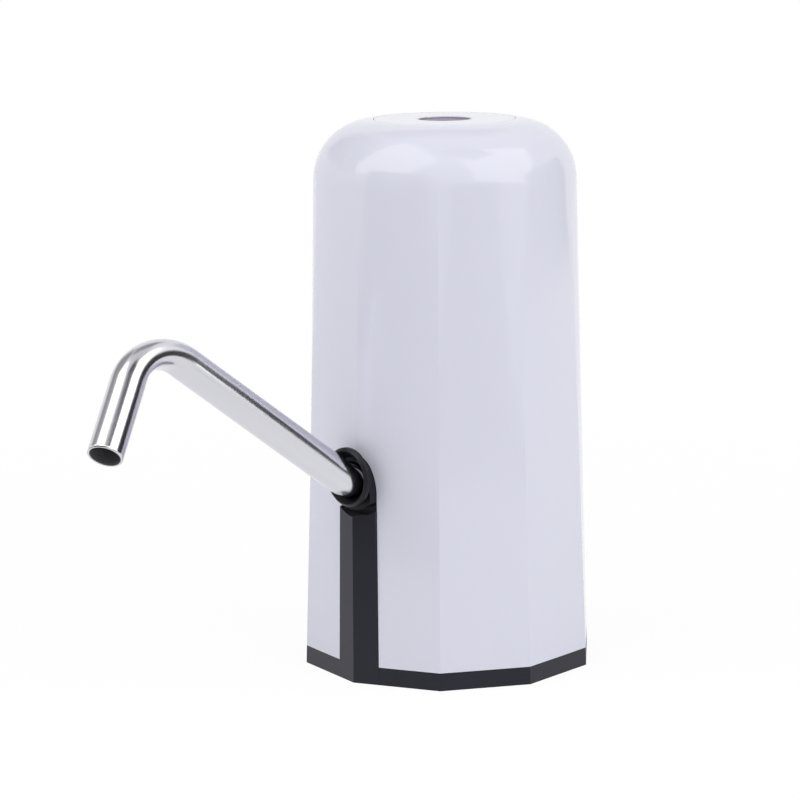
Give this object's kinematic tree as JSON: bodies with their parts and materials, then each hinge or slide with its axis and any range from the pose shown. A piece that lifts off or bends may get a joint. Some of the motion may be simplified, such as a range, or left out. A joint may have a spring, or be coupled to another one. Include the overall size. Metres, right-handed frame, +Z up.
{
  "type": "bottled water pump",
  "caption": "Battery water pump that sits on a large bottle neck, with a faceted rounded column, dark base band and spine, and a bent steel pouring spout.",
  "frame": {"origin": "centre of the bottle neck socket on the base plane", "axes": "+Z up through the crown, -Y towards the spout, +Y towards the charging socket"},
  "size_m": [0.0714, 0.1559, 0.138],
  "materials": {
    "gloss_white": "high gloss white ABS",
    "dark_plastic": "fine satin near-black ABS",
    "collar_black": "satin black moulding",
    "spout_steel": "polished and lightly brushed stainless steel",
    "button_grey": "satin grey",
    "seal_silicone": "matte food-grade silicone",
    "hose_silicone": "milky silicone",
    "nylon_white": "natural moulded nylon",
    "frame_grey": "moulded ABS",
    "pump_black": "glass-filled black moulding",
    "black_rubber": "black rubber",
    "plain_steel": "plain steel",
    "motor_iron": "dark sintered or laminated iron",
    "copper": "bare copper and brass",
    "carbon": "pressed carbon",
    "cell_wrap": "shrink-wrapped cell",
    "nickel": "nickel plate",
    "board_green": "solder mask",
    "chip_black": "moulded component bodies",
    "header_cream": "nylon plug headers",
    "wire_red": "PVC wire insulation",
    "lamp_clear": "clear moulding"
  },
  "bodies": {
    "casing": {"outer_shell": "gloss_white", "top_cap": "gloss_white", "base_housing": "dark_plastic", "spout_collar": "collar_black", "neck_seal": "seal_silicone", "inlet_hose": "hose_silicone", "outlet_hose": "hose_silicone", "inlet_nipple": "nylon_white", "spout_connector": "collar_black", "inner_frame": "frame_grey", "spout_rings": "black_rubber", "pump_cover": "pump_black", "valve_plate": "nylon_white", "valve_flaps": "black_rubber", "diaphragm": "black_rubber", "pump_body": "pump_black", "pump_screws": "plain_steel", "motor_can": "plain_steel", "motor_bushes": "copper", "motor_magnets": "motor_iron", "motor_end_cap": "pump_black", "motor_terminals": "copper", "motor_brushes": "carbon", "motor_sleeve": "black_rubber", "base_screws": "plain_steel", "battery_cell": "cell_wrap", "battery_tabs": "nickel", "battery_leads": "wire_red", "motor_leads": "wire_red", "button_leads": "wire_red", "control_board": "board_green", "board_screws": "plain_steel", "board_chips": "chip_black", "wire_headers": "header_cream", "usb_socket": "nickel", "charge_light": "lamp_clear", "button_switch": "chip_black", "button_board": "board_green", "button_board_screws": "plain_steel", "button_lamps": "lamp_clear"},
    "spout": {"spout_tube": "spout_steel"},
    "button": {"power_button": "button_grey", "switch_plunger": "chip_black"},
    "rotor": {"motor_shaft": "plain_steel", "motor_armature": "motor_iron", "motor_windings": "copper", "motor_commutator": "copper", "drive_crank": "nylon_white", "crank_pin": "plain_steel"},
    "wobble": {"wobble_plate": "nylon_white"}
  },
  "joints": [
    {"name": "spout_swivel", "type": "hinge", "parent": "casing", "child": "spout", "pos_m": [0, -0.0334, 0.0518], "axis": [0, -1, 0], "range_deg": [-110.8, 69.2]},
    {"name": "button_press", "type": "slide", "parent": "casing", "child": "button", "axis": [0, 0, -1], "range_m": [0, 0.0005], "stiffness_N_per_m": 3000, "springref_m": -0.0002},
    {"name": "motor_spin", "type": "hinge", "parent": "casing", "child": "rotor", "pos_m": [-0.008, 0.003, 0.095], "axis": [0, 0, 1], "continuous": true},
    {"name": "wobble_turn", "type": "hinge", "parent": "rotor", "child": "wobble", "pos_m": [-0.008, 0.003, 0.06474], "axis": [0.1219, 0, 0.9925], "continuous": true}
  ],
  "couplings": [
    {"joint": "wobble_turn", "follows": "motor_spin", "ratio": -1}
  ]
}
